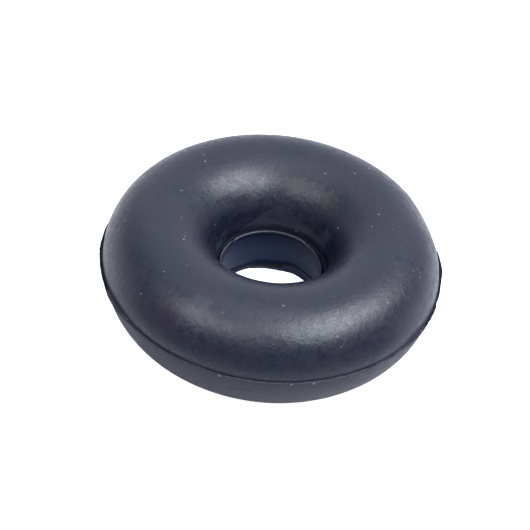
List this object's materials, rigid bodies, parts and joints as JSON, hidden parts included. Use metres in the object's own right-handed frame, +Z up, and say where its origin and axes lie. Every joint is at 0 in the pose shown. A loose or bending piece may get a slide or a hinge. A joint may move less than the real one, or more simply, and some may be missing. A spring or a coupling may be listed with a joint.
{
  "type": "stabilizer bar mount bush",
  "caption": "Doughnut-shaped moulded rubber bush with a domed crown, rounded skirt, flat base and central bore for a stud.",
  "frame": {"origin": "centre of the bore at the flat base", "axes": "+Z up along the bore, from the flat base to the domed crown; the ring is round about Z"},
  "size_m": [0.0515, 0.0514, 0.0164],
  "materials": {
    "rubber": "satin"
  },
  "bodies": {
    "root": {"rubber_bush": "rubber"}
  },
  "joints": []
}
